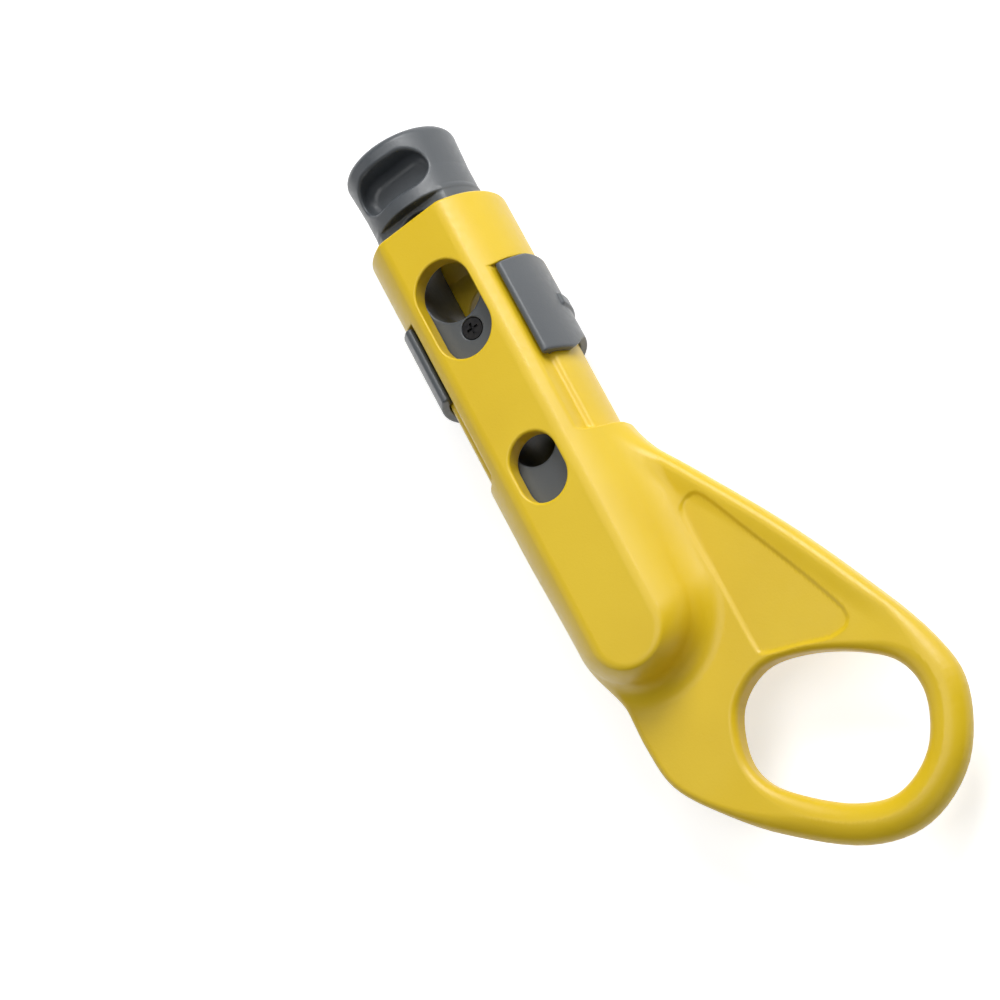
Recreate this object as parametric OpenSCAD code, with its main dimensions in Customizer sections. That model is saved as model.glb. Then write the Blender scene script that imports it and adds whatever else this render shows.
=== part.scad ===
// Coaxial cable stripper: a flat-sided sleeve with two cable ports, a sprung
// plunger that carries two pairs of blades, a sliding cable stop, and a plate
// with a finger loop. The tool lies on its back: +Z points out of the front
// face, +Y towards the cap and +X towards the finger loop. Lengths along the
// tool are counted from the sleeve's open rim, which is y = 0 inside the
// modules, and heights from the sleeve's axis, which is z = 0 there.

/* [Sleeve] */
// Outer radius of the sleeve
sleeve_r = 13.1; // [12.9:0.1:13.6]
// Sleeve axis to its front flat
front_flat = 11.4; // [11:0.1:12]
// Sleeve axis to the back flat of the collar
collar_back = 11.4; // [11.2:0.1:11.6]
// Sleeve axis to the back flat of the lower housing
housing_back = 11.7; // [11.6:0.1:12]
// Wall of the sleeve at its sides
sleeve_wall = 2.8; // [2.7:0.1:2.9]
// Wall of the sleeve behind its front flat
flat_wall = 3.6; // [3.4:0.1:3.8]
// Rim to the rail that the cable stop slides on
collar_len = 14.2; // [13.5:0.1:14.6]
// Rim to the shoulder where the lower housing starts
sleeve_len = 48.3; // [47.3:0.5:50.8]
// Shoulder to the start of the housing's rounded end
housing_len = 36.6; // [36:0.1:42]
// Depth of the rail below the sleeve's surface
rail_drop = 0.8; // [0.6:0.1:0.9]
// Depth of the hook groove below the rail
groove_drop = 1; // [0.7:0.1:1.1]
// Width of the hook groove
groove_w = 1.7; // [1.4:0.1:1.9]
// Angle of the groove's front edge above the side of the sleeve
groove_angle = 43; // [41:0.5:45]

/* [Cable ports] */
// Rim to the top of the large port
large_top = 9.3; // [8.8:0.1:9.8]
// Length of the large port
large_len = 19.6; // [19:0.1:20]
// Width of the large port
large_w = 11.1; // [10.6:0.1:11.6]
// Rim to the top of the small port
small_top = 46; // [45.8:0.1:46.8]
// Length of the small port
small_len = 13.2; // [12.8:0.1:13.6]
// Width of the small port
small_w = 9.2; // [8.8:0.1:9.6]
// Width of the plunger's hole behind the small port
small_hole_w = 8.4; // [8:0.1:8.8]
// Width of the bevel round each port
port_bevel = 0.4; // [0.3:0.1:0.8]

/* [Plunger] */
// Rim to the underside of the cap when the plunger is out
cap_gap = 3.1; // [2.9:0.1:3.6]
// Height of the cap
cap_len = 14.4; // [13.6:0.1:15.5]
// Rounding of the cap's top edge
cap_round = 1.6; // [1:0.1:2.4]
// How much wider the cap is at its top than where it goes into the sleeve
cap_flare = 0.4; // [0.1:0.1:0.6]
// Length of the thumb pocket in the cap
pocket_len = 13; // [11:0.5:13.5]
// Width of the thumb pocket in the cap
pocket_w = 7.2; // [6.4:0.1:7.6]
// Depth of the thumb pocket
pocket_depth = 5.2; // [4:0.1:5.6]
// Underside of the cap to the middle of the thumb pocket
pocket_y = 6; // [5.4:0.1:6.6]
// Travel of the plunger
travel = 8.5; // [8:0.1:9]
// Gap between the plunger and its bore
plunger_gap = 0.2; // [0.15:0.05:0.3]
// Rim to the bottom of the plunger when it is out
plunger_end = 62.3; // [61.8:0.1:63.8]

/* [Blades] */
// Thickness of a blade
blade_t = 0.6; // [0.4:0.1:0.7]
// Plunger axis to the jacket blades
jacket_z = 2.7; // [2.4:0.1:3]
// Plunger axis to the core blades
core_z = 3.65; // [3.4:0.05:3.9]
// How far the blades stand into the ports
blade_rise = 0.8; // [0.5:0.1:1]
// Depth of the blade pockets below the plunger's holes
blade_seat = 6.2; // [6:0.1:6.6]
// Width of the large blades
large_blade_w = 9.2; // [8.6:0.1:9.6]
// Width of the small blades
small_blade_w = 7.2; // [6.6:0.1:7.4]
// Radius of a blade screw's head
screw_head_r = 1.9; // [1.7:0.1:2.1]
// Radius of a blade screw's shank
screw_r = 1; // [0.8:0.1:1.2]
// Depth of the recess for a screw's head
screw_recess = 1.5; // [1.4:0.1:1.8]

/* [Cable stop] */
// Length of the cable stop
stop_len = 19.2; // [18:0.1:20]
// How much shorter the cable stop is round the back than at its front right corner
stop_slant = 2.6; // [2:0.1:3]
// Thickness of the cable stop
stop_t = 1.6; // [1.4:0.1:1.7]
// Gap between the cable stop and its rail
stop_gap = 0.1; // [0.05:0.05:0.15]
// Height of the thumb rib on the cable stop
rib_h = 0.5; // [0.4:0.1:0.6]
// Width of the thumb rib
rib_w = 2.4; // [2:0.1:3]

/* [Spring] */
// Mean radius of the return spring
spring_r = 3.55; // [3.4:0.05:3.8]
// Radius of the spring's wire
wire_r = 0.45; // [0.35:0.05:0.5]
// Length of the spring when the plunger is out
spring_len = 22.6; // [20:0.1:23]
// Turns of the spring
spring_turns = 8; // [6:1:9]

/* [Finger loop] */
// Thickness of the loop and the rim bead
loop_t = 6.4; // [6.2:0.1:8.2]
// Thickness of the web between the bead and the housing
web_t = 4.8; // [4.4:0.1:5.4]
// Rounding of the loop's edges
loop_round = 3; // [2:0.1:3]
// Width of the band round the finger hole
loop_band = 7.2; // [6.5:0.1:8.5]
// Width of the rim bead along the plate's sloping edge
bead_w = 3.8; // [3.4:0.1:4.4]
// Width of the bead's slope down to the web
bead_slope = 2.1; // [1.4:0.1:2.2]
// Sleeve axis to the middle of the finger hole
loop_x = 21; // [20.5:0.1:23]
// Shoulder to the middle of the finger hole
loop_y = 68; // [67.5:0.1:72]
// Depth of the bare panel in the web
panel_depth = 0.35; // [0.2:0.05:0.5]

/* [Hidden] */

YELLOW = [0.93, 0.76, 0.09];
GREY = [0.36, 0.38, 0.40];
STEEL = [0.66, 0.67, 0.69];
DARK = [0.16, 0.16, 0.17];

cut = 1;                                    // how far a cutter runs past a face
far = 40;                                   // beyond anything in the model
skin = 0.05;                                // gap between seated pieces
round_steps = 4;                            // rings round a quarter of an edge
lip_angle = 70;                             // where a hole's rounded mouth meets the face

housing_end = sleeve_len + housing_len;     // rim to the centre of the rounded end
rest_y = sleeve_len + housing_len / 2;      // the frame's origin, from the rim
cavity_r = sleeve_r - sleeve_wall;
cavity_flat = front_flat - flat_wall;
plunger_r = cavity_r - plunger_gap;
plunger_flat = cavity_flat - plunger_gap;
mouth_len = travel - cap_gap + skin;

large_bottom = large_top + large_len;
small_bottom = small_top + small_len;
hole_low = large_bottom - travel - 0.8;     // bottom of the plunger's large hole
hole_high = cap_gap - 1.3;                  // its top, above the rim
small_hole_low = small_bottom - travel - 0.2;
small_hole_y = small_hole_low - small_hole_w / 2;

jacket_top = jacket_z + blade_t / 2;
core_low = core_z + blade_t / 2;
screw_below = 2.5;                          // a hole's bottom to the screw below it
large_screw_y = hole_low + screw_below;
small_screw_y = small_hole_low + screw_below;
spacer_below = 0.9;                         // a hole's bottom to the top of the spacer
screw_tip = 2;                              // plastic below a screw's tip

rail_r = sleeve_r - rail_drop;
stop_in = rail_r + stop_gap;
stop_r = stop_in + stop_t;
rail_back = housing_back - rib_h - stop_t - stop_gap;
stop_back = rail_back + stop_gap;
stop_top = collar_len + 0.2;
stop_bottom = stop_top + stop_len;
groove_r = rail_r - groove_drop;
groove_turn = groove_w / rail_r * 180 / PI; // the groove's width as an angle
hook_turn = stop_gap / rail_r * 180 / PI;
slant_high = 9;                             // height where a slanted end starts
slant_low = 4;                              // height from which it runs straight on
shoulder_slant = 1.5;                       // how far the shoulder drops on the right

lug_h = 4;
lug_w = 5;
lug_root = 3;                               // how far a lug reaches into the plunger
lug_out = rail_r - 0.5;
lug_below = 3;                              // the lugs' top below the collar
lug_top = collar_len + lug_below;

spring_seat = 4.5;                          // depth of the spring's seat in the plunger
spring_floor = plunger_end - spring_seat + spring_len;
spigot_len = 4;
pocket_x = -0.6;                            // middle of the thumb pocket, to the left

half_t = loop_t / 2;
web_drop = (loop_t - web_t) / 2;

function unit(v) = v / norm(v);
function mix(a, b, t) = a + (b - a) * t;

// A smooth closed curve through the knots, with n points from each to the next
function curve(knots, n) = [
    for (i = [0 : len(knots) - 1])
    let (a = knots[(i + len(knots) - 1) % len(knots)], b = knots[i],
         c = knots[(i + 1) % len(knots)], d = knots[(i + 2) % len(knots)])
    for (k = [0 : n - 1])
    let (t = k / n)
    0.5 * (2 * b + (c - a) * t + (2 * a - 5 * b + 4 * c - d) * t * t
           + (3 * b - a - 3 * c + d) * t * t * t)
];

// The same curve moved inwards, for one that runs anticlockwise
function inset(points, d) = [
    for (i = [0 : len(points) - 1])
    let (along = unit(points[(i + 1) % len(points)]
                      - points[(i + len(points) - 1) % len(points)]))
    points[i] + d * [-along[1], along[0]]
];

// A solid skinned over flat rings of as many points, from the lowest up, each [z, points]
module skinned(levels) {
    n = len(levels[0][1]);
    last = len(levels) - 1;
    rings = [for (level = levels) for (p = level[1]) [p[0], p[1], level[0]]];
    floor_face = [[for (i = [0 : n - 1]) i]];
    roof_face = [[for (i = [n - 1 : -1 : 0]) last * n + i]];
    walls = [
        for (r = [0 : last - 1])
        for (i = [0 : n - 1])
        let (j = (i + 1) % n)
        each [[r * n + i, (r + 1) * n + i, (r + 1) * n + j],
              [r * n + i, (r + 1) * n + j, r * n + j]]
    ];
    polyhedron(rings, concat(floor_face, roof_face, walls));
}

// The same over levels of one outline, each [z, inset]
module loft(outline, levels) {
    skinned([for (level = levels) [level[0], inset(outline, level[1])]]);
}

// Levels of a slab with rounded edges
function round_levels(half, r) = [
    for (k = [-round_steps : round_steps])
    let (a = 90 * k / round_steps)
    [(k < 0 ? -1 : k > 0 ? 1 : 0) * (half - r) + r * sin(a), r * (1 - cos(a))]
];

// Levels of a hole whose mouths are rounded up to lip_angle, and which then
// runs on past both faces at that slope
function mouth_level(half, r, a) = [half - r + r * sin(a), -r * (1 - cos(a))];
function mouth_end(half, r) = mouth_level(half, r, lip_angle) + cut * [cos(lip_angle), -sin(lip_angle)];
function hole_levels(half, r) = let (
    upper = [for (k = [0 : round_steps]) mouth_level(half, r, lip_angle * k / round_steps)],
    levels = concat(upper, [mouth_end(half, r)]))
    concat([for (k = [len(levels) - 1 : -1 : 0]) [-levels[k][0], levels[k][1]]], levels);

// A disc cut off by a front and a back flat
module flat_disc(r, front, back) {
    intersection() {
        circle(r, $fn = 96);
        translate([-r, -back]) square([2 * r, front + back]);
    }
}

// A section in the sleeve's cross plane, run from y = top down to y = bottom
module run(top, bottom) {
    translate([0, top, 0]) rotate([90, 0, 0]) linear_extrude(top - bottom) children();
}

// Everything is drawn from the rim and the sleeve's axis, then laid down here
module laid() {
    translate([0, rest_y, housing_back]) children();
}

// A slot with round ends, run along Z
module slot_cut(width, top, bottom, low, high) {
    for (y = [top - width / 2, bottom + width / 2])
        translate([0, y, low]) cylinder(r = width / 2, h = high - low, $fn = 64);
    translate([-width / 2, bottom + width / 2, low])
        cube([width, top - bottom - width, high - low]);
}

// The bevel round a slot in the front flat
module slot_bevel(width, top, bottom, face) {
    wide = width / 2 + port_bevel;
    for (y = [top - width / 2, bottom + width / 2])
        translate([0, y, face - port_bevel])
            cylinder(r1 = width / 2, r2 = wide, h = port_bevel, $fn = 64);
    run(top - width / 2, bottom + width / 2)
        polygon([[-width / 2, face - port_bevel], [width / 2, face - port_bevel],
                 [wide, face], [-wide, face]]);
}

// A slice of a ring in the cross plane, between two angles from the side
module ring_slice(inner, outer, from, to) {
    difference() {
        polygon([for (a = [from, to]) inner * 0.9 * [cos(a), sin(a)],
                 for (a = [to, from]) outer * [cos(a), sin(a)]]);
        circle(inner, $fn = 96);
    }
}

// The finger hole, as knots round its middle
loop_mid = [loop_x, -sleeve_len - loop_y];
hole_knots = [for (p = [[-15.7, 4.6], [-14.8, -1.3], [-10.6, -7], [-3.6, -13.4], [4, -16],
                        [11.6, -12.7], [15.8, -5], [14.8, 2.3], [9, 8.3], [1, 13.1],
                        [-6.7, 15], [-12.8, 11.8]]) loop_mid + p];
hole_line = curve(hole_knots, 5);

// The plate's outline: the band round the hole, then up its free edge to the shoulder
function banded(i) = hole_knots[i] + loop_band * unit(hole_knots[i] - loop_mid);
shoulder = [sleeve_r + 0.3, -sleeve_len - 1.6];
side_low = banded(7);
side_bulge = [1.6, 0.9];
plate_knots = [banded(2), banded(3), banded(4), banded(5), banded(6), side_low,
               mix(side_low, shoulder, 0.25) + side_bulge * 0.8,
               mix(side_low, shoulder, 0.5) + side_bulge,
               mix(side_low, shoulder, 0.78) + side_bulge * 0.5,
               shoulder,
               [sleeve_r * 0.9, -sleeve_len + 6],
               [sleeve_r * 0.3, -sleeve_len + 12],
               [-sleeve_r * 0.4, -sleeve_len + 4],
               [-sleeve_r * 0.75, -housing_end + 14],
               [-10.1, -housing_end - 7.5],
               [-10.3, -housing_end - 17],
               [-9.2, -housing_end - 25],
               [-4.2, -housing_end - 33]];
plate_line = curve(plate_knots, 5);

// The sunk web between the bead and the housing, as points of its floor and how far its edge
// lies from them at the loop's full thickness. It opens into the finger hole and past the left
// edge, is hidden inside the housing, and rises gently towards the loop.
side_out = unit([shoulder[1] - side_low[1], side_low[0] - shoulder[0]]);
function by_bead(i) = [plate_knots[i] - side_out * bead_w, side_out * bead_slope];
web_rise = 14;
web_knots = [[shoulder - side_out * bead_w + [1.4, -4.5], [0, 1.5]],
             [[sleeve_r * 0.5, -sleeve_len - 14], [0, 0]],
             [[sleeve_r * 0.5, -housing_end + 2], [0, 0]],
             [[-sleeve_r * 0.2, -housing_end - 4], [0, 0]],
             [[-sleeve_r - 3, -housing_end - 4], [0, 0]],
             [[-sleeve_r - 3, -housing_end - 21], [0, -web_rise]],
             [hole_knots[0] + [-6, 3], [0, -web_rise]],
             [hole_knots[0] + [6, 0], [0, -web_rise]],
             [loop_mid + [5, 0], [0, -2]],
             [hole_knots[7] + [-3, 4], [1, -2]],
             [hole_knots[7] + [-1.5, 10], side_out * bead_slope],
             by_bead(6), by_bead(7), by_bead(8)];
web_floor = curve([for (k = web_knots) k[0]], 4);
web_edge = curve([for (k = web_knots) k[0] + k[1]], 4);

// The bare panel in the web, as points out from the sleeve's side and down from the shoulder
panel_knots = [for (p = [[5.5, 20.4], [2.6, 21.5], [2.1, 26.5], [2.3, 38.2], [2.3, 48.7],
                         [3.4, 51.5], [9.1, 53.7], [16, 56.1], [19.3, 54.2], [17.3, 46.9],
                         [11.9, 33.1], [7.8, 22.8]]) [sleeve_r + p[0], -sleeve_len - p[1]]];
panel_line = curve(panel_knots, 3);

module plate() {
    difference() {
        loft(plate_line, round_levels(half_t, loop_round));
        loft(hole_line, hole_levels(half_t, loop_round));
        for (side = [0, 1])
            mirror([0, 0, side])
                skinned([[half_t - web_drop, web_floor], [half_t, web_edge], [half_t + cut, web_edge]]);
        translate([0, 0, half_t - web_drop - panel_depth])
            linear_extrude(web_drop) polygon(panel_line);
    }
}

module body() {
    color(YELLOW) laid() difference() {
        union() {
            run(0, -sleeve_len) flat_disc(sleeve_r, front_flat, collar_back);
            run(-sleeve_len, -housing_end) flat_disc(sleeve_r, front_flat, housing_back);
            translate([0, -housing_end, 0]) rotate_extrude($fn = 96)
                intersection() {
                    flat_disc(sleeve_r, front_flat, housing_back);
                    translate([0, -far]) square([far, 2 * far]);
                }
            plate();
        }
        bore_cuts();
        rail_cuts();
        for (end = [[large_w, large_top, large_bottom], [small_w, small_top, small_bottom]]) {
            slot_cut(end[0], -end[1], -end[2], -far, far);
            slot_bevel(end[0], -end[1], -end[2], front_flat);
        }
    }
    color(YELLOW) laid() run(-spring_floor + spigot_len, -spring_floor - skin)
        circle(spring_r - wire_r - 0.4, $fn = 32);
}

module bore_cuts() {
    run(cut, -spring_floor) flat_disc(cavity_r, cavity_flat, cavity_flat);
    run(cut, -mouth_len) circle(cavity_r, $fn = 96);
    for (side = [-1, 1])
        translate([side * (plunger_r - lug_root), -lug_top - lug_h - travel - skin, -lug_w / 2 - skin])
            cube_towards(side, [far, lug_h + travel + 2 * skin, lug_w + 2 * skin]);
}

module cube_towards(side, size) {
    translate([side < 0 ? -size[0] : 0, 0, 0]) cube(size);
}

module rail_cuts() {
    run(-collar_len, -sleeve_len) rail_section();
    intersection() {
        run(cut - sleeve_len, -sleeve_len - shoulder_slant) rail_section();
        side_view(far)
            polygon([[cut - sleeve_len, slant_high], [-sleeve_len, slant_high],
                     [-sleeve_len - shoulder_slant, slant_low],
                     [-sleeve_len - shoulder_slant, -slant_low],
                     [-sleeve_len, -slant_high], [cut - sleeve_len, -slant_high]]);
    }
    for (side = [0, 1])
        mirror([side, 0, 0])
            run(-collar_len, -sleeve_len)
                ring_slice(groove_r, far, groove_angle - groove_turn, groove_angle);
}

// What is cut away from the sleeve to make the rail
module rail_section() {
    difference() {
        circle(far, $fn = 64);
        flat_disc(rail_r, far, rail_back);
        front_wedge(groove_angle - groove_turn / 2);
    }
}

// A section seen from the right, along the tool and up, run from x = 0 to the right
module side_view(width) {
    rotate([90, 0, 90]) linear_extrude(width) children();
}

module plunger() {
    color(GREY) laid() difference() {
        union() {
            run(cap_gap, -plunger_end) flat_disc(plunger_r, plunger_flat, plunger_flat);
            cap();
            for (side = [-1, 1])
                translate([side * (plunger_r - lug_root), -lug_top - lug_h, -lug_w / 2])
                    cube_towards(side, [lug_out - plunger_r + lug_root, lug_h, lug_w]);
        }
        slot_cut(large_w, hole_high, -hole_low, -far, far);
        translate([0, -small_hole_y, -far]) cylinder(r = small_hole_w / 2, h = 2 * far, $fn = 64);
        blade_pocket(large_blade_w, hole_low, large_w);
        blade_pocket(small_blade_w, small_hole_low, small_hole_w);
        screw_hole(large_screw_y, 1);
        screw_hole(small_screw_y, -1);
        run(-plunger_end + spring_seat, -plunger_end - cut)
            circle(spring_r + wire_r + 0.5, $fn = 48);
    }
}

// The cap, turned, with its top edge rounded
module cap() {
    translate([0, cap_gap, 0]) difference() {
        rotate([-90, 0, 0]) rotate_extrude($fn = 96) cap_profile(plunger_r + cap_flare);
        translate([pocket_x, pocket_y, plunger_r - pocket_depth + pocket_w / 2]) thumb_pocket();
    }
}

// Half of the cap's profile, r wide at its rounded top and straight where it goes into the mouth
module cap_profile(r) {
    polygon([[0, 0], [plunger_r, 0], [plunger_r, mouth_len], [r, cap_len - cap_round],
             [r - cap_round, cap_len], [0, cap_len]]);
    translate([r - cap_round, cap_len - cap_round]) circle(cap_round, $fn = 32);
}

// A slot with round ends and a round floor, from the level of its floor's centre
module thumb_pocket() {
    reach = pocket_len / 2 - pocket_w / 2;
    for (x = [-reach, reach])
        translate([x, 0, 0]) {
            sphere(pocket_w / 2, $fn = 48);
            cylinder(r = pocket_w / 2, h = pocket_depth, $fn = 48);
        }
    translate([-reach, 0, 0]) rotate([0, 90, 0]) cylinder(r = pocket_w / 2, h = 2 * reach, $fn = 48);
    translate([-reach, -pocket_w / 2, 0]) cube([2 * reach, pocket_w, pocket_depth]);
}

module blade_pocket(width, low, hole_w) {
    translate([-width / 2 - skin, -low - blade_seat - skin, -core_low - skin])
        cube([width + 2 * skin, blade_seat + hole_w / 2 + skin, jacket_top + core_low + 2 * skin]);
}

// The hole for a blade screw, whose head is on the front (1) or the back (-1)
module screw_hole(y, side) {
    translate([0, -y, 0]) mirror([0, 0, side < 0 ? 1 : 0]) {
        translate([0, 0, plunger_flat - screw_recess])
            cylinder(r = screw_head_r + 0.15, h = screw_recess + cut, $fn = 32);
        translate([0, 0, -plunger_flat + screw_tip])
            cylinder(r = screw_r + skin, h = 2 * plunger_flat - screw_tip, $fn = 32);
    }
}

module screw(y, side) {
    seat = plunger_flat - screw_recess;
    laid() translate([0, -y, 0]) mirror([0, 0, side < 0 ? 1 : 0]) difference() {
        union() {
            translate([0, 0, seat + skin]) cylinder(r = screw_head_r, h = 1.3, $fn = 32);
            translate([0, 0, -plunger_flat + screw_tip + 0.3])
                cylinder(r = screw_r, h = seat + plunger_flat - screw_tip, $fn = 32);
        }
        for (turn = [0, 90])
            rotate(turn) translate([-1.1, -0.25, seat + 0.8]) cube([2.2, 0.5, 1]);
    }
}

// A blade: a flat plate with its top edge ground from both sides
module blade(width, low, z, screw_y) {
    edge = -low + blade_rise;
    back = -low - blade_seat;
    grind = 1.3;
    laid() difference() {
        translate([-width / 2, 0, z]) side_view(width)
            polygon([[back, -blade_t / 2], [edge - grind, -blade_t / 2], [edge, 0],
                     [edge - grind, blade_t / 2], [back, blade_t / 2]]);
        translate([0, -screw_y, z - cut]) cylinder(r = screw_r + skin, h = 2 * cut, $fn = 32);
    }
}

module spacer(width, low, screw_y) {
    laid() difference() {
        translate([-width / 2, -low - blade_seat, -core_z + blade_t / 2])
            cube([width, blade_seat - spacer_below, jacket_z + core_z - blade_t]);
        translate([0, -screw_y, -far]) cylinder(r = screw_r + skin, h = 2 * far, $fn = 32);
    }
}

module large_jacket_blade() { color(STEEL) blade(large_blade_w, hole_low, jacket_z, large_screw_y); }
module large_core_blade() { color(STEEL) blade(large_blade_w, hole_low, -core_z, large_screw_y); }
module large_blade_spacer() { color(GREY) spacer(large_blade_w, hole_low, large_screw_y); }
module large_blade_screw() { color(DARK) screw(large_screw_y, 1); }
module small_jacket_blade() { color(STEEL) blade(small_blade_w, small_hole_low, jacket_z, small_screw_y); }
module small_core_blade() { color(STEEL) blade(small_blade_w, small_hole_low, -core_z, small_screw_y); }
module small_blade_spacer() { color(GREY) spacer(small_blade_w, small_hole_low, small_screw_y); }
module small_blade_screw() { color(DARK) screw(small_screw_y, -1); }

// Everything in front of two lines from the axis, at an angle above each side
module front_wedge(angle) {
    polygon([[0, 0], far * [cos(angle), sin(angle)], [0, 2 * far], far * [-cos(angle), sin(angle)]]);
}

module cable_stop() {
    rib_y = -stop_top - stop_len / 2;
    color(GREY) laid() difference() {
        union() {
            run(-stop_top, -stop_bottom) difference() {
                flat_disc(stop_r, far, stop_back + stop_t);
                front_wedge(groove_angle - hook_turn);
                difference() {
                    flat_disc(stop_in, far, stop_back);
                    for (side = [0, 1])
                        mirror([side, 0])
                            ring_slice(groove_r + stop_gap, far,
                                       groove_angle - groove_turn + hook_turn,
                                       groove_angle + hook_turn);
                }
            }
            run(rib_y + rib_w / 2, rib_y - rib_w / 2) difference() {
                flat_disc(stop_r + rib_h, 0, housing_back);
                flat_disc(stop_in + stop_t / 2, far, stop_back + stop_t / 2);
            }
        }
        stop_end();
    }
}

// What shortens the cable stop everywhere but at its front right corner
module stop_end() {
    side_view(far)
        polygon([[-stop_bottom - cut, slant_high], [-stop_bottom, slant_high],
                 [stop_slant - stop_bottom, slant_low], [stop_slant - stop_bottom, -far],
                 [-stop_bottom - cut, -far]]);
    translate([-far, -stop_bottom - cut, -far]) cube([far + skin, cut + stop_slant, 2 * far]);
}

module return_spring() {
    sides = 8;
    per_turn = 14;
    rings = spring_turns * per_turn;
    rise = spring_len - 2 * wire_r - 2 * skin;
    low = -spring_floor + wire_r + skin;
    points = [
        for (i = [0 : rings])
        let (a = 360 * i / per_turn)
        for (k = [0 : sides - 1])
        let (b = 360 * k / sides, r = spring_r + wire_r * cos(b))
        [r * cos(a), low + rise * i / rings + wire_r * sin(b), r * sin(a)]
    ];
    skin_faces = [
        for (i = [0 : rings - 1])
        for (k = [0 : sides - 1])
        let (j = (k + 1) % sides, p = i * sides, q = p + sides)
        each [[p + k, p + j, q + j], [p + k, q + j, q + k]]
    ];
    ends = [[for (k = [sides - 1 : -1 : 0]) k], [for (k = [0 : sides - 1]) rings * sides + k]];
    color(STEEL) laid() polyhedron(points, concat(skin_faces, ends));
}

body();
plunger();
cable_stop();
return_spring();
large_jacket_blade();
large_core_blade();
large_blade_spacer();
large_blade_screw();
small_jacket_blade();
small_core_blade();
small_blade_spacer();
small_blade_screw();
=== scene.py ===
"""Looks of a coaxial cable stripper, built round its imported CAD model.

Shapes are drawn as distance fields in millimetres, with the sleeve's axis along y, the sleeve's open
rim at y = 0, z out of the front face and x towards the finger loop. Each field is then skinned with a
mesh, which is laid into the frame of the CAD model.
"""
import math

import bpy
import numpy as np
from mathutils import Matrix, Vector


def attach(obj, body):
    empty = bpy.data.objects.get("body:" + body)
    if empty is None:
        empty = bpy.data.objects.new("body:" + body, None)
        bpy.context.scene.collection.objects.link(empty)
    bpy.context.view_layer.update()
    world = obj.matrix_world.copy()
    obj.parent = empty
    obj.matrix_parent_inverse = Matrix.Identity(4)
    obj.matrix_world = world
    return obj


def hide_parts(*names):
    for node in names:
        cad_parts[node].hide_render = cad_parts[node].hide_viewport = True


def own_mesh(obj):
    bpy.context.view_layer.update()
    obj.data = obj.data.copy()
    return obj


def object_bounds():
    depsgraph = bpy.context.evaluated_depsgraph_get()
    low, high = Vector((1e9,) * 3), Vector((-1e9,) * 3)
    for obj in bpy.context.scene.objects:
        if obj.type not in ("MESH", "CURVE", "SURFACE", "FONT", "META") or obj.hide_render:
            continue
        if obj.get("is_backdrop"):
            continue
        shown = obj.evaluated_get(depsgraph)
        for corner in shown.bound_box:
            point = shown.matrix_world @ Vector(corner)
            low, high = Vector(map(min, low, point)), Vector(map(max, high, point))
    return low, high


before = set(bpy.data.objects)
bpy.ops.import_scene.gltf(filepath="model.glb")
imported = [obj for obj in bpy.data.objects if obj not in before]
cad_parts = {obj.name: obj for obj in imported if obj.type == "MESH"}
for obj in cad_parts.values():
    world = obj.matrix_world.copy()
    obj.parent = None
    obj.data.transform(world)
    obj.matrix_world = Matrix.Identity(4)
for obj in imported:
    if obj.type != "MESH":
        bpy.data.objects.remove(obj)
cad_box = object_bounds()

MM = 0.001
# How much coarser the meshes are while things are tried out
COARSER = 1.0

# Sleeve
SLEEVE_R = 13.1
FRONT_FLAT = 11.4
COLLAR_BACK = 11.4
HOUSING_BACK = 11.7
SLEEVE_WALL = 2.8
FLAT_WALL = 3.6
COLLAR_LEN = 14.2
SLEEVE_LEN = 48.3
HOUSING_LEN = 36.6
RAIL_DROP = 0.8
GROOVE_DROP = 1.0
GROOVE_ANGLE = 43.0
# The groove is a lopsided V. Its front wall starts at the foot, this far below the angle, and lies
# further on for each millimetre up, and its floor rises from there to the rail.
WALL_FOOT = 1.6
WALL_SLANT = 1.5
FLOOR_SLANT = 0.86
RAIL_START = 1.5
VALLEY = 0.8
# The shoulder lies lower on the handle's side, and the ledge above the cable stop slants down towards the front
SHOULDER_DROP = 2.1
LEDGE_SLANT = 0.2
LEDGE_LOW = 3.0
CREASE = 0.5
# The housing's end is blunter than a half turn of its section: it starts further on where it is narrower
DOME_START = 81.6
DOME_BLUNT = 0.6
HOUSING_TAPER = 0.8
TAPER_START = 60.0

# Cable ports: rim to the top, length, width
LARGE_PORT = (9.3, 18.9, 11.1)
SMALL_PORT = (45.7, 12.9, 9.3)
SMALL_HOLE_W = 8.4
# Bottoms of the plunger's holes
HOLE_LOW = 19.6
SMALL_HOLE_LOW = 50.5
LARGE_LIP = 0.35
SMALL_LIP = 0.5

# Plunger
CAP_GAP = 3.1
CAP_LEN = 13.8
CAP_ROUND = 1.6
CAP_FLARE = 0.4
POCKET_LEN = 14.2
POCKET_W = 7.4
POCKET_DEPTH = 6.0
POCKET_LIP = 0.7
POCKET_FLOOR = 1.8
POCKET_X = -0.2
POCKET_Y = 6.6
TRAVEL = 8.5
PLUNGER_GAP = 0.2
PLUNGER_END = 62.3
BLADE_T = 0.6
JACKET_Z = 2.7
CORE_Z = 3.65
BLADE_SEAT = 6.2
LARGE_BLADE_W = 9.2
SMALL_BLADE_W = 7.2
SCREW_HEAD_R = 1.9
SCREW_R = 1.0
SCREW_RECESS = 1.5
SCREW_BELOW = 2.5
SCREW_TIP = 2.0
SEATED = 0.05
LUG_ROOT = 3.0
LUG_BELOW = 3.0
LUG_H = 4.0
LUG_W = 5.0

# Cable stop
STOP_LEN = 19.2
STOP_SLANT = 2.6
STOP_LONGER = 0.9
STOP_LOW = -4.0
STOP_HIGH = 4.0
STOP_EDGE = 0.9
STOP_T = 1.6
STOP_GAP = 0.1
RIB_H = 0.5
RIB_W = 2.4

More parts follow.
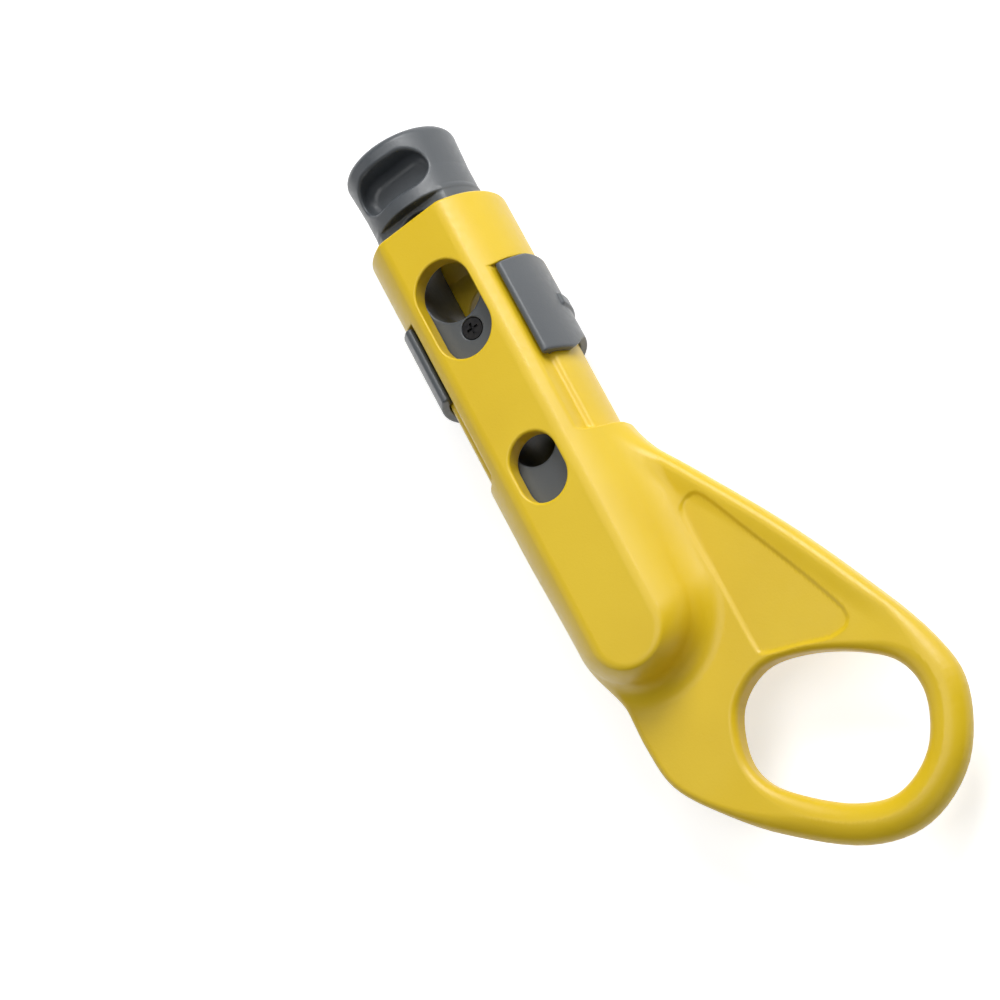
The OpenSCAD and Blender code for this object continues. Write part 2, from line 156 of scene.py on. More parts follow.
# Spring
SPRING_R = 3.55
WIRE_R = 0.45
SPRING_LEN = 22.6
SPRING_TURNS = 8
SPRING_SEAT = 4.5
SPIGOT_LEN = 4.0

# Handle: half thicknesses and edge roundings of the web and the loop
LOOP_HALF = 3.2
WEB_HALF = 2.4
LOOP_ROUND = 3.0
WEB_ROUND = 1.3
LOOP_BAND = 7.2
LOOP_X = 21.0
LOOP_Y = 68.0
BEAD_CREST = 1.6
BEAD_FOOT = 5.2
BEAD_H = 0.4
PANEL_DEPTH = 0.35
ROOT_FILLET = 4.0

# Derived, as in the CAD model
REST_Y = SLEEVE_LEN + HOUSING_LEN / 2
DOME_NARROW = SLEEVE_R - math.sqrt(SLEEVE_R**2 - FRONT_FLAT**2)
ORIGIN = np.array([0.0, REST_Y, HOUSING_BACK])
RAIL_R = SLEEVE_R - RAIL_DROP
RAIL_BACK = HOUSING_BACK - RIB_H - STOP_T - STOP_GAP
STOP_IN = RAIL_R + STOP_GAP
STOP_R = STOP_IN + STOP_T
STOP_TOP = COLLAR_LEN + 0.2
GROOVE_R = RAIL_R - GROOVE_DROP
CAVITY_R = SLEEVE_R - SLEEVE_WALL
CAVITY_FLAT = FRONT_FLAT - FLAT_WALL
PLUNGER_R = CAVITY_R - PLUNGER_GAP
PLUNGER_FLAT = CAVITY_FLAT - PLUNGER_GAP
HOLE_HIGH = CAP_GAP - 0.8
LUG_TOP = COLLAR_LEN + LUG_BELOW
LUG_OUT = RAIL_R - 0.5
SPRING_FLOOR = PLUNGER_END - SPRING_SEAT + SPRING_LEN
HOUSING_END = SLEEVE_LEN + HOUSING_LEN
MOUTH_LEN = TRAVEL - CAP_GAP + SEATED


# Distance fields. Negative is inside. Arrays may be open grids, which numpy stretches to each other.

def join(a, b, r=0.0):
    """Both shapes, with a fillet of radius r where they meet."""
    if np.isscalar(r) and r <= 0:
        return np.minimum(a, b)
    return np.maximum(r, np.minimum(a, b)) - np.hypot(np.maximum(r - a, 0), np.maximum(r - b, 0))


def meet(a, b, r=0.0):
    """What both shapes share, with a rounding of radius r where they meet."""
    if np.isscalar(r) and r <= 0:
        return np.maximum(a, b)
    return np.minimum(-r, np.maximum(a, b)) + np.hypot(np.maximum(r + a, 0), np.maximum(r + b, 0))


def carve(a, b, r=0.0):
    """a without b, with the mouth rounded by r."""
    return meet(a, -b, r)


def between(v, low, high):
    return np.maximum(low - v, v - high)


def ramp(v, low, high):
    """0 below low, 1 above high, smooth in between."""
    t = np.clip((v - low) / (high - low), 0, 1)
    return t * t * (3 - 2 * t)


def flat_disc(x, z, r, front, back, edge=0.5):
    """A round section cut off by a front and a back flat."""
    return meet(np.hypot(x, z) - r, np.maximum(z - front, -back - z), edge)


def slot(x, y, top, length, width):
    """A slot with round ends in the plan, its top end at y = -top."""
    middle = -top - length / 2
    reach = length / 2 - width / 2
    return np.hypot(x, np.maximum(np.abs(y - middle) - reach, 0)) - width / 2


def curve(knots, n):
    """A smooth closed curve through the knots, with n points from each to the next."""
    knots = np.asarray(knots, float)
    t = (np.arange(n) / n)[None, :, None]
    a, b, c, d = (np.roll(knots, s, axis=0)[:, None, :] for s in (1, 0, -1, -2))
    line = 0.5 * (2 * b + (c - a) * t + (2 * a - 5 * b + 4 * c - d) * t ** 2
                  + (3 * b - a - 3 * c + d) * t ** 3)
    return line.reshape(-1, 2)


def outline(x, y, line):
    """Distance to a closed outline in the plan."""
    best = None
    inside = None
    for p, q in zip(line, np.roll(line, -1, axis=0)):
        ex, ey = q - p
        wx, wy = x - p[0], y - p[1]
        t = np.clip((wx * ex + wy * ey) / (ex * ex + ey * ey), 0, 1)
        gap = (wx - ex * t) ** 2 + (wy - ey * t) ** 2
        best = gap if best is None else np.minimum(best, gap)
        above = (p[1] <= y) & (y < q[1])
        below = (q[1] <= y) & (y < p[1])
        side = ex * wy - ey * wx
        crossing = (above & (side > 0)) | (below & (side < 0))
        inside = crossing if inside is None else inside ^ crossing
    return np.where(inside, -1, 1) * np.sqrt(best)


def lines(*stops):
    """Grid lines from stops, each with the step that runs up to the next one."""
    runs = []
    for (low, step), (high, _) in zip(stops, stops[1:]):
        n = math.ceil((high - low) / (step * COARSER))
        runs.append(np.linspace(low, high, n, endpoint=False))
    return np.append(np.concatenate(runs), stops[-1][0])


def skin(field, axes):
    """Points and quads of a field's surface, one point for each grid cell that it passes through."""
    x, y, z = np.ix_(*axes)
    d = np.ascontiguousarray(np.broadcast_to(field(x, y, z), [len(a) for a in axes]), np.float32)
    inside = d < 0
    cells = tuple(n - 1 for n in d.shape)
    total = np.zeros(cells + (3,), np.float32)
    count = np.zeros(cells, np.int16)
    corner = [slice(0, -1), slice(1, None)]
    crossings = []
    for axis in range(3):
        a = [slice(None)] * 3
        b = [slice(None)] * 3
        a[axis], b[axis] = corner
        da, db = d[tuple(a)], d[tuple(b)]
        cross = inside[tuple(a)] != inside[tuple(b)]
        share = np.where(cross, da / np.where(cross, da - db, 1), 0)
        crossings.append((cross, inside[tuple(a)] & cross))
        others = [k for k in range(3) if k != axis]
        for i in (0, 1):
            for j in (0, 1):
                part = [slice(None)] * 3
                part[others[0]], part[others[1]] = corner[i], corner[j]
                hit = cross[tuple(part)]
                count += hit
                total[..., axis] += np.where(hit, share[tuple(part)], 0)
                total[..., others[0]] += i * hit
                total[..., others[1]] += j * hit
    used = count > 0
    index = np.full(cells, -1, np.int64)
    index[used] = np.arange(used.sum())
    base = np.nonzero(used)
    share = total[used] / count[used][:, None]
    points = np.stack([line[at] + part * np.diff(line)[at] for line, at, part in zip(axes, base, share.T)], 1)
    quads = []
    for axis, (cross, leaving) in enumerate(crossings):
        u, v = [(1, 2), (2, 0), (0, 1)][axis]
        at = np.stack(np.nonzero(cross), 1)
        at = at[(at[:, u] > 0) & (at[:, v] > 0) & (at[:, u] < cells[u]) & (at[:, v] < cells[v])]
        flip = leaving[tuple(at.T)]
        ring = []
        for du, dv in ((1, 1), (0, 1), (0, 0), (1, 0)):
            c = at.copy()
            c[:, u] -= du
            c[:, v] -= dv
            ring.append(index[tuple(c.T)])
        ring = np.stack(ring, 1)
        ring[~flip] = ring[~flip][:, ::-1]
        quads.append(ring)
    return settle(field, points, 0.3 * COARSER), np.concatenate(quads)


def slope(field, p, h):
    """The field's gradient at points."""
    g = np.empty_like(p)
    for k in range(3):
        s = np.zeros(3)
        s[k] = h
        g[:, k] = (field(*(p + s).T) - field(*(p - s).T)) / (2 * h)
    return g


def settle(field, p, step):
    """Moves points onto the surface."""
    for _ in range(3):
        g = slope(field, p, 0.02)
        size = np.maximum((g * g).sum(1), 0.25)
        move = -(field(*p.T) / size)[:, None] * g
        length = np.linalg.norm(move, axis=1, keepdims=True)
        p = p + move * np.minimum(1, 0.5 * step / np.maximum(length, 1e-9))
    return p


def mesh_of(name, points, quads, normals):
    """A Blender object from the quads given, with the surface's own normals."""
    kept, quads = np.unique(quads, return_inverse=True)
    quads = quads.reshape(-1, 4)
    mesh = bpy.data.meshes.new(name)
    mesh.vertices.add(len(kept))
    mesh.vertices.foreach_set("co", ((points[kept] + ORIGIN) * MM).astype(np.float32).ravel())
    mesh.loops.add(4 * len(quads))
    mesh.loops.foreach_set("vertex_index", quads.astype(np.int32).ravel())
    mesh.polygons.add(len(quads))
    mesh.polygons.foreach_set("loop_start", np.arange(len(quads), dtype=np.int32) * 4)
    mesh.update(calc_edges=True)
    mesh.polygons.foreach_set("use_smooth", np.ones(len(quads), bool))
    mesh.normals_split_custom_set_from_vertices(normals[kept].astype(np.float32))
    obj = bpy.data.objects.new(name, mesh)
    bpy.context.scene.collection.objects.link(obj)
    return obj


def moulding(names, field, axes, cuts=()):
    """The objects that skin a field, one after the other along y, parted at the cuts."""
    points, quads = skin(field, axes)
    normals = slope(field, points, 0.03)
    normals /= np.maximum(np.linalg.norm(normals, axis=1, keepdims=True), 1e-9)
    middle = points[quads, 1].mean(1)
    made = []
    for name, high, low in zip(names, (math.inf,) + cuts, cuts + (-math.inf,)):
        share = quads[(middle < high) & (middle >= low)]
        print("faces of", name, 2 * len(share))
        made.append(mesh_of(name, points, share, normals))
    return made


# The finger hole and the handle's outline, as in the CAD model

def unit(v):
    return np.asarray(v, float) / np.linalg.norm(v)


LOOP_MID = np.array([LOOP_X, -SLEEVE_LEN - LOOP_Y])
HOLE_KNOTS = LOOP_MID + np.array([
    [-16.4, 4.6], [-15.6, -1.3], [-11.2, -7], [-3.6, -13.4], [4, -16], [11.6, -12.7],
    [15.8, -5], [14.8, 2.3], [9, 8.3], [1, 13.1], [-6.7, 15], [-13.3, 11.8]])
HOLE_LINE = curve(HOLE_KNOTS, 6)


def banded(i):
    return HOLE_KNOTS[i] + LOOP_BAND * unit(HOLE_KNOTS[i] - LOOP_MID)


SHOULDER = np.array([SLEEVE_R - 0.3, -SLEEVE_LEN - 2.4])
SIDE_LOW = banded(7)
SIDE_BULGE = np.array([1.6, 0.9])


def along_side(share, bulge):
    return SIDE_LOW + (SHOULDER - SIDE_LOW) * share + SIDE_BULGE * bulge


PLATE_KNOTS = np.array([
    banded(2), banded(3), banded(4), banded(5), banded(6), SIDE_LOW,
    along_side(0.25, 0.8), along_side(0.5, 1), along_side(0.78, 0.5), SHOULDER,
    [SLEEVE_R * 0.9, -SLEEVE_LEN + 6], [SLEEVE_R * 0.3, -SLEEVE_LEN + 12],
    [-SLEEVE_R * 0.4, -SLEEVE_LEN + 4], [-SLEEVE_R * 0.75, -HOUSING_END + 14],
    [-10.1, -HOUSING_END - 7.5], [-10.3, -HOUSING_END - 17],
    [-9.2, -HOUSING_END - 25], [-4.2, -HOUSING_END - 33]])
PLATE_LINE = curve(PLATE_KNOTS, 6)
PANEL_KNOTS = np.array([SLEEVE_R, -SLEEVE_LEN]) + np.array([
    [5.5, -20.4], [2.6, -21.5], [2.1, -26.5], [2.3, -38.2], [2.3, -48.7], [3.4, -51.5],
    [9.1, -53.7], [16, -56.1], [19.3, -54.2], [17.3, -46.9], [11.9, -33.1], [7.8, -22.8]])
PANEL_LINE = curve(PANEL_KNOTS, 5)


def handle(x, y, z):
    """The handle's plate: thin in the web, thicker in the loop and in the bead along its side."""
    rim = outline(x, y, PLATE_LINE)
    hole = -outline(x, y, HOLE_LINE)
    below = -SLEEVE_LEN - y
    loop = ramp((x - LOOP_X) * 0.35 + below, 56.5, 77.5)
    bead = (1 - ramp(-rim, BEAD_CREST, BEAD_FOOT)) * ramp(x, 10, 14) * (1 - ramp(below, 48.5, 64.5))
    half = WEB_HALF + (LOOP_HALF - WEB_HALF) * loop + BEAD_H * bead * (1 - loop)
    half = half - PANEL_DEPTH * (1 - ramp(outline(x, y, PANEL_LINE), -0.6, 0.3)) * (z > 0)
    rounding = WEB_ROUND + (LOOP_ROUND - WEB_ROUND) * np.maximum(loop, 0.4 * bead)
    edge = meet(rim, hole, 0.5) * (1 - 0.25 * loop)
    return meet(edge, np.abs(z) - half, rounding)


def housing(x, y, z):
    """The lower housing with its rounded end."""
    taper = HOUSING_TAPER * ramp(-y, TAPER_START, DOME_START) * (1 - np.minimum(np.abs(z) / FRONT_FLAT, 1))
    narrower = SLEEVE_R - np.sqrt(np.maximum(SLEEVE_R**2 - z**2, 1))
    past = np.minimum(y + DOME_START + DOME_BLUNT * np.minimum(narrower, DOME_NARROW), 0)
    return flat_disc(np.hypot(x, past), z, SLEEVE_R - taper, FRONT_FLAT, HOUSING_BACK, CREASE)


def lugs(x, y, z, reach, room, length):
    """The plunger's side lugs, or the windows that they run in."""
    side = between(np.abs(x), PLUNGER_R - LUG_ROOT, reach)
    along = between(y, -LUG_TOP - length - room, -LUG_TOP + room)
    return meet(meet(side, np.abs(z) - LUG_W / 2 - room, 0.3), along, 0.3)


def from_groove(x, z, radius):
    """How far round the sleeve a point lies from the groove's front edge, towards the front."""
    return np.radians(np.degrees(np.arctan2(z, np.abs(x))) - GROOVE_ANGLE) * radius


def ledge_drop(z):
    return LEDGE_SLANT * np.maximum(z - LEDGE_LOW, 0)


def body_field(x, y, z):
    lower = meet(join(housing(x, y, z), handle(x, y, z), ROOT_FILLET), y + SLEEVE_LEN, 0.35)
    section = flat_disc(x, z, SLEEVE_R, FRONT_FLAT, COLLAR_BACK, CREASE)
    d = np.minimum(meet(section, between(y, -SLEEVE_LEN - 5, 0), 0.6), lower)
    # The rail of the cable stop, and the hook grooves along its front edges
    radius = np.hypot(x, z)
    away = from_groove(x, z, radius)
    kept = meet(radius - RAIL_R, -z - RAIL_BACK, 0.5)
    shoulder = -SLEEVE_LEN - SHOULDER_DROP * ramp(x, -2, 2)
    ledge = -COLLAR_LEN - ledge_drop(z)
    rail = np.maximum(np.maximum(-kept, away + RAIL_START), between(y, shoulder, ledge))
    d = carve(d, rail, 0.3)
    wall = (away + WALL_FOOT - (radius - GROOVE_R) * WALL_SLANT) / math.hypot(1, WALL_SLANT)
    floor_r = GROOVE_R + np.maximum(-away - WALL_FOOT, 0) * FLOOR_SLANT
    floor = (floor_r - radius) / math.hypot(1, FLOOR_SLANT)
    groove = meet(meet(wall, shoulder - y, 1.2), floor, VALLEY)
    d = carve(d, np.maximum(groove, y - ledge), 0.3)
    d = carve(d, slot(x, y, *LARGE_PORT), LARGE_LIP)
    d = carve(d, slot(x, y, *SMALL_PORT), SMALL_LIP)
    # The bore, its round mouth and the windows of the plunger's lugs
    bore = np.maximum(flat_disc(x, z, CAVITY_R, CAVITY_FLAT, CAVITY_FLAT), -SPRING_FLOOR - y)
    mouth = np.maximum(radius - CAVITY_R, -MOUTH_LEN - y)
    d = carve(d, np.minimum(bore, mouth), 0.35)
    d = carve(d, lugs(x, y, z, SLEEVE_R + 5, SEATED, LUG_H + TRAVEL), 0.2)
    spigot = np.maximum(radius - SPRING_R + WIRE_R + 0.4, between(y, -SPRING_FLOOR - 1, SPIGOT_LEN - SPRING_FLOOR))
    return join(d, spigot, 0.3)


def pocket(x, y, z, width, low, hole_w):
    """The pocket of a pair of blades."""
    across = np.abs(x) - width / 2 - SEATED
    along = between(y, -low - BLADE_SEAT - SEATED, -low + hole_w / 2)
    deep = between(z, -CORE_Z - BLADE_T / 2 - SEATED, JACKET_Z + BLADE_T / 2 + SEATED)
    return np.maximum(np.maximum(across, along), deep)


def screw_hole(x, y, z, at, side):
    """The hole of a blade screw, whose head is on the front (1) or the back (-1)."""
    radius = np.hypot(x, y + at)
    head = np.maximum(radius - SCREW_HEAD_R - 0.15, PLUNGER_FLAT - SCREW_RECESS - side * z)
    shank = np.maximum(radius - SCREW_R - SEATED, SCREW_TIP - PLUNGER_FLAT - side * z)
    return np.minimum(head, shank)


def plunger_field(x, y, z):
    radius = np.hypot(x, z)
    shank = flat_disc(x, z, PLUNGER_R, PLUNGER_FLAT, PLUNGER_FLAT, 0.6)
    shank = meet(shank, between(y, -PLUNGER_END, CAP_GAP + 1), 0.4)
    wider = np.clip((y - CAP_GAP - MOUTH_LEN) / (CAP_LEN - CAP_ROUND - MOUTH_LEN), 0, 1)
    cap = meet(radius - PLUNGER_R - CAP_FLARE * wider, y - CAP_GAP - CAP_LEN, CAP_ROUND)
    d = join(meet(cap, CAP_GAP - y, 0.35), shank, 0.3)
    reach = POCKET_LEN / 2 - POCKET_W / 2
    walls = np.hypot(np.maximum(np.abs(x - POCKET_X) - reach, 0), y - CAP_GAP - POCKET_Y) - POCKET_W / 2
    scoop = meet(walls, PLUNGER_R - POCKET_DEPTH - z, POCKET_FLOOR)
    d = carve(d, scoop, POCKET_LIP)
    d = carve(d, slot(x, y, -HOLE_HIGH, HOLE_HIGH + HOLE_LOW, LARGE_PORT[2]), 0.3)
    width = SMALL_HOLE_W
    d = carve(d, np.hypot(x, y + SMALL_HOLE_LOW - width / 2) - width / 2, 0.3)
    d = carve(d, pocket(x, y, z, LARGE_BLADE_W, HOLE_LOW, LARGE_PORT[2]))
    d = carve(d, pocket(x, y, z, SMALL_BLADE_W, SMALL_HOLE_LOW, width))
    d = carve(d, screw_hole(x, y, z, HOLE_LOW + SCREW_BELOW, 1), 0.2)
    d = carve(d, screw_hole(x, y, z, SMALL_HOLE_LOW + SCREW_BELOW, -1), 0.2)
    d = carve(d, np.maximum(radius - SPRING_R - WIRE_R - 0.5, y + PLUNGER_END - SPRING_SEAT), 0.3)
    return join(d, lugs(x, y, z, LUG_OUT, 0, LUG_H), 0)


def stop_field(x, y, z):
    radius = np.hypot(x, z)
    away = from_groove(x, z, radius)
    outer = meet(radius - STOP_R, -z - RAIL_BACK - STOP_GAP - STOP_T, 0.9)
    inner = meet(radius - STOP_IN, -z - RAIL_BACK - STOP_GAP, 0.5)
    high = ramp(z, STOP_LOW, STOP_HIGH) * ramp(x, -1, 1)
    ends = between(y, -STOP_TOP - STOP_LEN - STOP_LONGER * high + STOP_SLANT * (1 - high), -STOP_TOP - ledge_drop(z))
    shell = meet(meet(outer, -inner, 0.25), away + STOP_GAP, STOP_EDGE)
    hook = meet(between(radius, GROOVE_R + 0.6, STOP_R - 0.6), between(away, -WALL_FOOT - 0.6, -WALL_FOOT), 0.2)
    d = meet(join(shell, hook, 0.2), ends, 0.4)
    # The thumb rib round the back and sides
    middle = -STOP_TOP - STOP_LEN / 2
    rib = meet(meet(radius - STOP_R - RIB_H, -z - HOUSING_BACK, 0.9), np.abs(y - middle) - RIB_W / 2, 0.4)
    rib = meet(meet(rib, z, 0.4), -meet(radius - STOP_R + 0.8, -z - HOUSING_BACK + RIB_H + 0.8, 0.3))
    return join(d, rib, 0.4)


def spring_mesh(name, per_turn, sides):
    """The return spring, a helix of even pitch, with the wire's two ends capped."""
    rings = SPRING_TURNS * per_turn
    a = 2 * math.pi * np.arange(rings + 1) / per_turn
    rise = SPRING_LEN - 2 * WIRE_R - 2 * SEATED
    low = -SPRING_FLOOR + WIRE_R + SEATED
    b = 2 * math.pi * np.arange(sides) / sides
    r = SPRING_R + WIRE_R * np.cos(b)
    x = np.cos(a)[:, None] * r
    z = np.sin(a)[:, None] * r
    y = (low + rise * np.arange(rings + 1) / rings)[:, None] + WIRE_R * np.sin(b)
    points = (np.stack([x, y, z], 2).reshape(-1, 3) + ORIGIN) * MM
    faces = []
    for i in range(rings):
        for k in range(sides):
            j = (k + 1) % sides
            p = i * sides
            q = p + sides
            faces.append((p + k, p + j, q + j, q + k))
    faces.append(tuple(range(sides))[::-1])
    faces.append(tuple(rings * sides + k for k in range(sides)))
    mesh = bpy.data.meshes.new(name)
    mesh.from_pydata(points.tolist(), [], faces)
    mesh.polygons.foreach_set("use_smooth", [True] * rings * sides + [False, False])
    obj = bpy.data.objects.new(name, mesh)
    bpy.context.scene.collection.objects.link(obj)
    return obj


# Materials

def srgb(r, g, b):
    """A colour from its 0 to 255 values on screen."""
    return tuple((c / 255 / 12.92) if c <= 10 else ((c / 255 + 0.055) / 1.055) ** 2.4 for c in (r, g, b)) + (1,)


class Nodes:
    """Short calls for building a material's nodes."""

    def __init__(self, name):
        self.material = bpy.data.materials.new(name)
        self.material.use_nodes = True
        self.tree = self.material.node_tree
        self.shader = self.tree.nodes["Principled BSDF"]

    def add(self, kind, **values):
        node = self.tree.nodes.new(kind)
        for key, value in values.items():
            if key in node.inputs:
                node.inputs[key].default_value = value
            else:
                setattr(node, key, value)
        return node

    def link(self, source, target):
        self.tree.links.new(source, target)

    def noise(self, place, scale, detail=2.0, stretch=(1, 1, 1)):
        mapping = self.add("ShaderNodeMapping")
        mapping.inputs["Scale"].default_value = stretch
        self.link(place, mapping.inputs["Vector"])
        noise = self.add("ShaderNodeTexNoise", Scale=scale, Detail=detail)
        self.link(mapping.outputs["Vector"], noise.inputs["Vector"])
        return noise.outputs["Fac"]

    def spread(self, source, low, high):
        node = self.add("ShaderNodeMapRange")
        node.inputs["From Min"].default_value = 0.3
        node.inputs["From Max"].default_value = 0.7
        node.inputs["To Min"].default_value = low
        node.inputs["To Max"].default_value = high
        self.link(source, node.inputs["Value"])
        return node.outputs["Result"]

    def blend(self, share, first, second):
        node = self.add("ShaderNodeMix", data_type="RGBA")
        node.inputs[6].default_value = first
        node.inputs[7].default_value = second
        self.link(share, node.inputs[0])
        return node.outputs[2]

    def bump(self, height, distance, strength=1.0, normal=None):
        node = self.add("ShaderNodeBump", Strength=strength, Distance=distance)
        self.link(height, node.inputs["Height"])
        if normal is not None:
            self.link(normal, node.inputs["Normal"])
        return node.outputs["Normal"]

    def set(self, name, value):
        self.shader.inputs[name].default_value = value

    def feed(self, name, source):
        self.link(source, self.shader.inputs[name])


def moulded(name, light, dark, roughness, grain):
    """Moulded plastic: a fine spark grain, a slow unevenness in its gloss and a little in its colour."""
    m = Nodes(name)
    place = m.add("ShaderNodeTexCoord").outputs["Object"]
    slow = m.noise(place, 60, 2)
    fine = m.noise(place, 2600, 3)
    m.feed("Base Color", m.blend(m.spread(slow, 0, 1), light, dark))
    rough = m.noise(place, 900, 2)
    m.feed("Roughness", m.spread(rough, roughness - 0.05, roughness + 0.05))
    m.feed("Normal", m.bump(fine, grain))
    m.set("IOR", 1.5)
    return m.material


def ground_steel(name, colour, roughness):
    """Steel with fine grinding lines across the part."""
    m = Nodes(name)
    place = m.add("ShaderNodeTexCoord").outputs["Object"]
    lines = m.noise(place, 900, 2, (0.08, 1, 0.08))
    m.set("Base Color", colour)
    m.set("Metallic", 1.0)
    m.feed("Roughness", m.spread(lines, roughness - 0.08, roughness + 0.1))
    m.feed("Normal", m.bump(lines, 0.00001))
    return m.material


def black_oxide(name):
    m = Nodes(name)
    place = m.add("ShaderNodeTexCoord").outputs["Object"]
    patch = m.noise(place, 1200, 3)
    m.feed("Base Color", m.blend(m.spread(patch, 0, 1), srgb(30, 30, 33), srgb(46, 45, 46)))
    m.feed("Roughness", m.spread(patch, 0.35, 0.5))
    m.feed("Normal", m.bump(patch, 0.00001))
    m.set("Metallic", 0.6)
    return m.material


YELLOW = moulded("yellow_plastic_look", srgb(228, 194, 36), srgb(223, 188, 31), 0.36, 0.000018)
GREY = moulded("grey_plastic_look", srgb(84, 88, 92), srgb(79, 83, 87), 0.36, 0.000014)
BLADE_STEEL = ground_steel("blade_steel_look", (0.58, 0.58, 0.6, 1), 0.3)
SPRING_STEEL = ground_steel("spring_steel_look", (0.5, 0.5, 0.52, 1), 0.25)
BLACK_OXIDE = black_oxide("black_screw_look")


# Pieces

def dress(obj, body, node, material):
    """Rides a piece on its body in place of its CAD node."""
    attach(obj, body)
    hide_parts(node)
    obj.data.materials.append(material)


# The grid lines lie closer at the ports, the creases and the rim. The body is one moulding, in
# three pieces because of its number of faces.
BODY_LINES = (lines((-13.6, 0.3), (-6.8, 0.2), (-3.8, 0.3), (3.8, 0.2), (6.8, 0.3), (13.7, 0.38), (46.2, 0)),
              lines((-140.5, 0.38), (-60.5, 0.26), (-45, 0.4), (-31, 0.26), (-1, 0.2), (0.4, 0)),
              lines((-12.1, 0.3), (9.8, 0.2), (11.9, 0)))
mouldings = moulding(["body_collar", "body_middle", "body_handle"], body_field, BODY_LINES, (-30.0, -72.0))
for piece in mouldings:
    dress(piece, "housing", "body", YELLOW)
PLUNGER_LINES = (lines((-12.2, 0.28), (12.2, 0)),
                 lines((-PLUNGER_END - 0.4, 0.34), (CAP_GAP - 1, 0.24), (CAP_GAP + CAP_LEN + 0.4, 0)),
                 lines((-10.9, 0.28), (10.9, 0)))
for piece in moulding(["plunger_moulding"], plunger_field, PLUNGER_LINES):
    dress(piece, "plunger", "plunger", GREY)
STOP_LINES = (lines((-STOP_R - 0.8, 0.25), (STOP_R + 0.8, 0)),
              lines((-STOP_TOP - STOP_LEN - STOP_LONGER - 0.4, 0.28), (-STOP_TOP + 0.4, 0)),
              lines((-HOUSING_BACK - 0.4, 0.25), (STOP_R, 0)))
for piece in moulding(["cable_stop_moulding"], stop_field, STOP_LINES):
    dress(piece, "cable_stop", "cable_stop", GREY)
spring = spring_mesh("spring_wire", 36, 12)
dress(spring, "housing", "return_spring", SPRING_STEEL)
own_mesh(spring)

for name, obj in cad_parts.items():
    if "blade" not in name:
        continue
    kind = GREY if "spacer" in name else BLACK_OXIDE if "screw" in name else BLADE_STEEL
    obj.data.materials.clear()
    obj.data.materials.append(kind)


# Camera at the photograph's viewing angle, fitted to the sleeve's edges

SIDE_ANGLE = 20.9
TILT_ANGLE = 22.4
DISTANCE = 800.0
SCALE = 5.8
PICTURE = 1000
AXIS_IN_PICTURE = (0.468, 0.884)
ACROSS = 279.3
ALONG = 408.0
LEVEL_Y = -40.8

a, b = math.radians(SIDE_ANGLE), math.radians(TILT_ANGLE)
tool_across = Vector((math.cos(a), 0, -math.sin(a)))
tool_down = -Vector((math.sin(a) * math.sin(b), math.cos(b), math.cos(a) * math.sin(b)))
to_camera = Vector((math.sin(a) * math.cos(b), -math.sin(b), math.cos(a) * math.cos(b)))
u = Vector(AXIS_IN_PICTURE).normalized()
v = Vector((u[1], -u[0]))
along = ALONG - SCALE * LEVEL_Y * math.cos(b)
offset = (u * along + v * ACROSS - Vector((PICTURE / 2, PICTURE / 2))) / SCALE
right = tool_across * v[0] + tool_down * u[0]
down = tool_across * v[1] + tool_down * u[1]
aim = Vector((0, LEVEL_Y, 0)) - right * offset[0] - down * offset[1]
place = (aim + to_camera * DISTANCE + Vector(ORIGIN)) * MM
camera_data = bpy.data.cameras.new("camera")
camera_data.sensor_width = 36
camera_data.sensor_fit = "HORIZONTAL"
camera_data.lens = 36 * SCALE * DISTANCE / PICTURE
camera_data.clip_start = 0.01
camera = bpy.data.objects.new("camera", camera_data)
turn = Matrix((right, -down, to_camera)).transposed().to_4x4()
camera.matrix_world = Matrix.Translation(place) @ turn
bpy.context.scene.collection.objects.link(camera)
bpy.context.scene.camera = camera


# Floor, which shows white to the camera but keeps the object's shadow, and lights

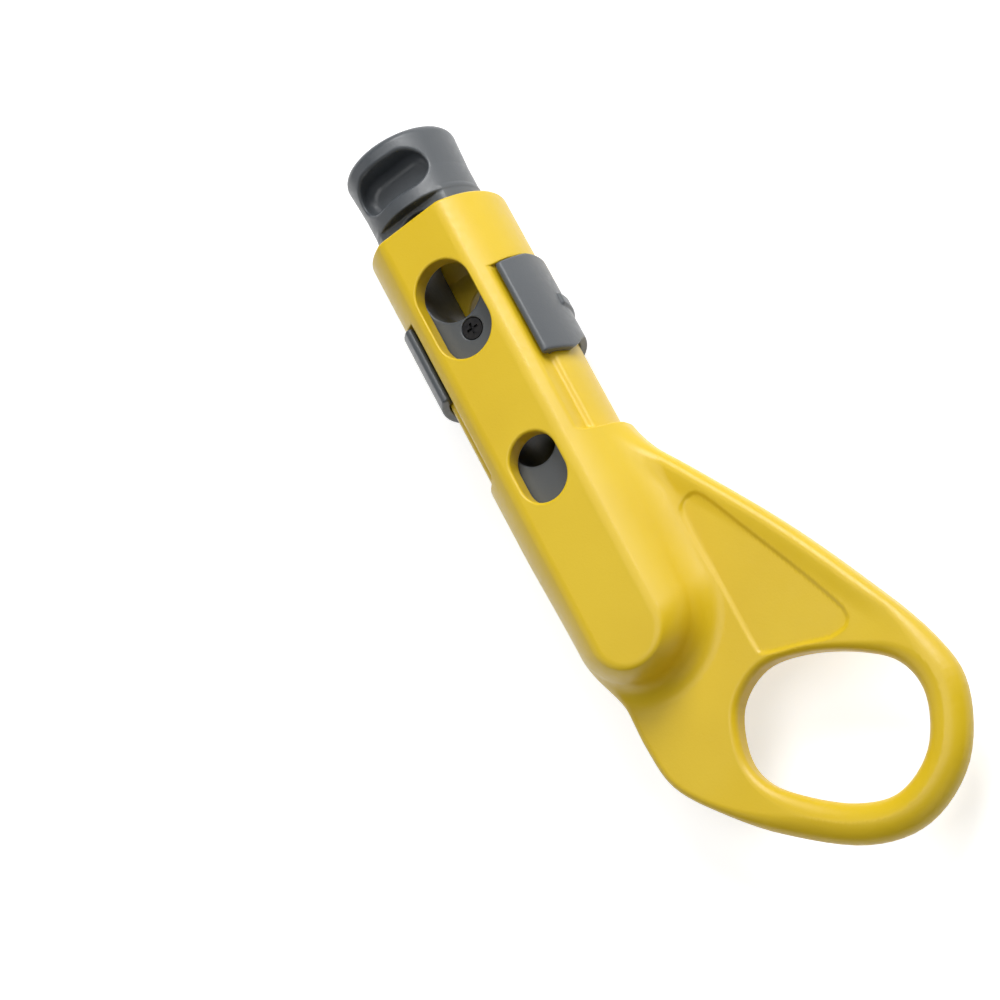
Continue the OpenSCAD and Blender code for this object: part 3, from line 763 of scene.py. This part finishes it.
def floor_look():
    m = Nodes("floor_look")
    m.set("Base Color", (0.8, 0.8, 0.8, 1))
    m.set("Roughness", 0.7)
    path = m.add("ShaderNodeLightPath")
    seen = m.add("ShaderNodeMath", operation="MAXIMUM")
    m.link(path.outputs["Is Camera Ray"], seen.inputs[0])
    m.link(path.outputs["Is Glossy Ray"], seen.inputs[1])
    through = m.add("ShaderNodeMath", operation="MAXIMUM")
    m.link(seen.outputs[0], through.inputs[0])
    m.link(path.outputs["Is Transmission Ray"], through.inputs[1])
    glow = m.add("ShaderNodeEmission", Strength=0.6)
    both = m.add("ShaderNodeAddShader")
    m.link(m.shader.outputs[0], both.inputs[0])
    m.link(glow.outputs[0], both.inputs[1])
    mix = m.add("ShaderNodeMixShader")
    m.link(through.outputs[0], mix.inputs[0])
    m.link(m.shader.outputs[0], mix.inputs[1])
    m.link(both.outputs[0], mix.inputs[2])
    m.link(mix.outputs[0], m.tree.nodes["Material Output"].inputs["Surface"])
    return m.material


bpy.ops.mesh.primitive_plane_add(size=8, location=(0, 0, 0))
floor = bpy.context.object
floor.name = "floor"
floor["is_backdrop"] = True
floor.data.materials.append(floor_look())


def softbox(name, direction, distance, size, power):
    """A square light that faces the middle of the tool."""
    light = bpy.data.lights.new(name, "AREA")
    light.size = size
    light.energy = power
    obj = bpy.data.objects.new(name, light)
    middle = Vector((0.01, 0, 0.01))
    obj.location = middle + Vector(direction).normalized() * distance
    obj.rotation_euler = (middle - obj.location).to_track_quat("-Z", "Y").to_euler()
    bpy.context.scene.collection.objects.link(obj)


softbox("key", (0.5, 0.6, 0.6), 0.9, 0.5, 6.6)
softbox("side", (0.9, 0.4, 0.36), 0.9, 0.5, 1.6)
softbox("top", (0.0, 0.1, 1.0), 1.0, 0.7, 3.6)
softbox("low", (0.1, -1.0, 0.55), 1.0, 0.7, 0.9)
softbox("left", (-0.9, 0.2, 0.45), 1.0, 0.7, 1.5)
world = bpy.data.worlds.new("world")
world.use_nodes = True
world.node_tree.nodes["Background"].inputs[0].default_value = (1, 1, 1, 1)
world.node_tree.nodes["Background"].inputs[1].default_value = 0.03
bpy.context.scene.world = world
bpy.context.scene.view_settings.view_transform = "Standard"

boxes = {"cad": cad_box, "visual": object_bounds()}
boxes = {key: [[float(v) for v in corner] for corner in box] for key, box in boxes.items()}
